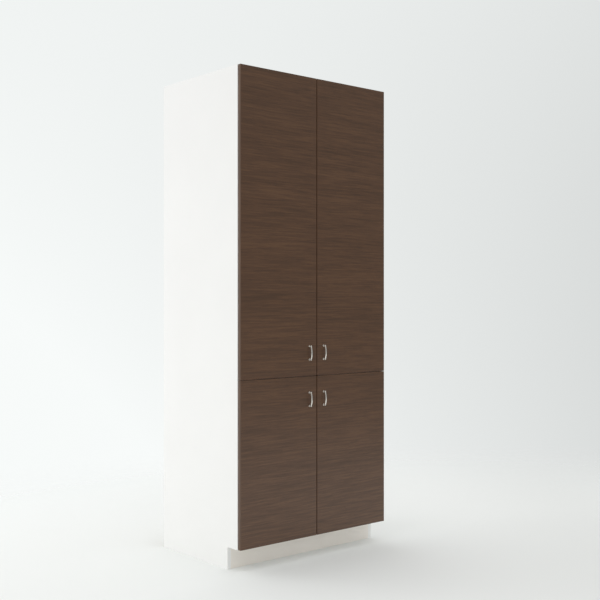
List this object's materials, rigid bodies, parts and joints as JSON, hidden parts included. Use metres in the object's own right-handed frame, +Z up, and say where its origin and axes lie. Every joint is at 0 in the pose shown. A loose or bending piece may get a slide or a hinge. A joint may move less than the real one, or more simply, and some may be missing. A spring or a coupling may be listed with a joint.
{
  "type": "tall utility cabinet",
  "caption": "Tall floor-standing utility cabinet: white board carcass with toe kick, upper and lower overlay doors in dark wood grain on concealed hinges, bow pulls, adjustable shelves.",
  "frame": {"origin": "middle of the cabinet's width and of its whole depth, pulls included, on the floor", "axes": "+Z up; the doors face -Y; +X is to the right of someone facing the doors"},
  "size_m": [0.9144, 0.6496, 2.286],
  "materials": {
    "white_board": "white laminate on board, satin",
    "white_edging": "white edge band, satin",
    "door_laminate": "dark brown wood-grain laminate, matt",
    "door_edge_band": "brown edge band, matt",
    "satin_nickel": "satin nickel",
    "plated_steel": "nickel plated",
    "zinc_alloy": "zinc alloy, cast",
    "beech": "fluted beech dowel",
    "clear_bumper": "soft translucent dot"
  },
  "bodies": {
    "carcass": {"left_side_panel": "white_board", "right_side_panel": "white_board", "top_panel": "white_board", "bottom_panel": "white_board", "fixed_shelf": "white_board", "back_panel": "white_board", "toe_kick": "white_board", "top_hanging_rail": "white_board", "lower_hanging_rail": "white_board", "carcass_edging": "white_edging", "shelf_edging": "white_edging", "upper_shelf_1": "white_board", "upper_shelf_2": "white_board", "upper_shelf_3": "white_board", "upper_shelf_4": "white_board", "lower_shelf_1": "white_board", "shelf_pins": "plated_steel", "cam_bolts": "plated_steel", "cam_discs": "zinc_alloy", "wood_dowels": "beech", "hinge_plates": "plated_steel", "plate_screws": "plated_steel", "hinge_arms": "plated_steel", "arm_pins": "plated_steel"},
    "upper_left_door": {"upper_left_door": "door_laminate", "upper_left_door_edging": "door_edge_band", "upper_left_handle": "satin_nickel", "upper_left_handle_screws": "plated_steel", "upper_left_hinge_cups": "plated_steel", "upper_left_cup_pins": "plated_steel", "upper_left_bumpers": "clear_bumper"},
    "upper_left_inner_link": {"upper_left_inner_links": "plated_steel"},
    "upper_left_outer_link": {"upper_left_outer_links": "plated_steel"},
    "upper_right_door": {"upper_right_door": "door_laminate", "upper_right_door_edging": "door_edge_band", "upper_right_handle": "satin_nickel", "upper_right_handle_screws": "plated_steel", "upper_right_hinge_cups": "plated_steel", "upper_right_cup_pins": "plated_steel", "upper_right_bumpers": "clear_bumper"},
    "upper_right_inner_link": {"upper_right_inner_links": "plated_steel"},
    "upper_right_outer_link": {"upper_right_outer_links": "plated_steel"},
    "lower_left_door": {"lower_left_door": "door_laminate", "lower_left_door_edging": "door_edge_band", "lower_left_handle": "satin_nickel", "lower_left_handle_screws": "plated_steel", "lower_left_hinge_cups": "plated_steel", "lower_left_cup_pins": "plated_steel", "lower_left_bumpers": "clear_bumper"},
    "lower_left_inner_link": {"lower_left_inner_links": "plated_steel"},
    "lower_left_outer_link": {"lower_left_outer_links": "plated_steel"},
    "lower_right_door": {"lower_right_door": "door_laminate", "lower_right_door_edging": "door_edge_band", "lower_right_handle": "satin_nickel", "lower_right_handle_screws": "plated_steel", "lower_right_hinge_cups": "plated_steel", "lower_right_cup_pins": "plated_steel", "lower_right_bumpers": "clear_bumper"},
    "lower_right_inner_link": {"lower_right_inner_links": "plated_steel"},
    "lower_right_outer_link": {"lower_right_outer_links": "plated_steel"}
  },
  "joints": [
    {"name": "upper_left_inner_link_pivot", "type": "hinge", "parent": "carcass", "child": "upper_left_inner_link", "pos_m": [-0.4251, -0.2795, 1.5755], "axis": [0, 0, -1], "range_deg": [-31.4, 0]},
    {"name": "upper_left_outer_link_pivot", "type": "hinge", "parent": "carcass", "child": "upper_left_outer_link", "pos_m": [-0.4102, -0.2821, 1.5755], "axis": [0, 0, -1], "range_deg": [-31.4, 0]},
    {"name": "upper_left_door_swing", "type": "hinge", "parent": "upper_left_inner_link", "child": "upper_left_door", "pos_m": [-0.4453, -0.2919, 1.5755], "axis": [0, 0, -1], "range_deg": [0, 126.35]},
    {"name": "upper_right_inner_link_pivot", "type": "hinge", "parent": "carcass", "child": "upper_right_inner_link", "pos_m": [0.4251, -0.2795, 1.5755], "axis": [0, 0, 1], "range_deg": [-31.4, 0]},
    {"name": "upper_right_outer_link_pivot", "type": "hinge", "parent": "carcass", "child": "upper_right_outer_link", "pos_m": [0.4102, -0.2821, 1.5755], "axis": [0, 0, 1], "range_deg": [-31.4, 0]},
    {"name": "upper_right_door_swing", "type": "hinge", "parent": "upper_right_inner_link", "child": "upper_right_door", "pos_m": [0.4453, -0.2919, 1.5755], "axis": [0, 0, 1], "range_deg": [0, 126.35]},
    {"name": "lower_left_inner_link_pivot", "type": "hinge", "parent": "carcass", "child": "lower_left_inner_link", "pos_m": [-0.4251, -0.2795, 0.4833], "axis": [0, 0, -1], "range_deg": [-31.4, 0]},
    {"name": "lower_left_outer_link_pivot", "type": "hinge", "parent": "carcass", "child": "lower_left_outer_link", "pos_m": [-0.4102, -0.2821, 0.4833], "axis": [0, 0, -1], "range_deg": [-31.4, 0]},
    {"name": "lower_left_door_swing", "type": "hinge", "parent": "lower_left_inner_link", "child": "lower_left_door", "pos_m": [-0.4453, -0.2919, 0.4833], "axis": [0, 0, -1], "range_deg": [0, 126.35]},
    {"name": "lower_right_inner_link_pivot", "type": "hinge", "parent": "carcass", "child": "lower_right_inner_link", "pos_m": [0.4251, -0.2795, 0.4833], "axis": [0, 0, 1], "range_deg": [-31.4, 0]},
    {"name": "lower_right_outer_link_pivot", "type": "hinge", "parent": "carcass", "child": "lower_right_outer_link", "pos_m": [0.4102, -0.2821, 0.4833], "axis": [0, 0, 1], "range_deg": [-31.4, 0]},
    {"name": "lower_right_door_swing", "type": "hinge", "parent": "lower_right_inner_link", "child": "lower_right_door", "pos_m": [0.4453, -0.2919, 0.4833], "axis": [0, 0, 1], "range_deg": [0, 126.35]}
  ],
  "couplings": [
    {"joint": "upper_left_inner_link_pivot", "follows": "upper_left_door_swing", "ratio": -0.24812},
    {"joint": "upper_left_outer_link_pivot", "follows": "upper_left_door_swing", "ratio": -0.24812},
    {"joint": "upper_right_inner_link_pivot", "follows": "upper_right_door_swing", "ratio": -0.24812},
    {"joint": "upper_right_outer_link_pivot", "follows": "upper_right_door_swing", "ratio": -0.24812},
    {"joint": "lower_left_inner_link_pivot", "follows": "lower_left_door_swing", "ratio": -0.24812},
    {"joint": "lower_left_outer_link_pivot", "follows": "lower_left_door_swing", "ratio": -0.24812},
    {"joint": "lower_right_inner_link_pivot", "follows": "lower_right_door_swing", "ratio": -0.24812},
    {"joint": "lower_right_outer_link_pivot", "follows": "lower_right_door_swing", "ratio": -0.24812}
  ]
}
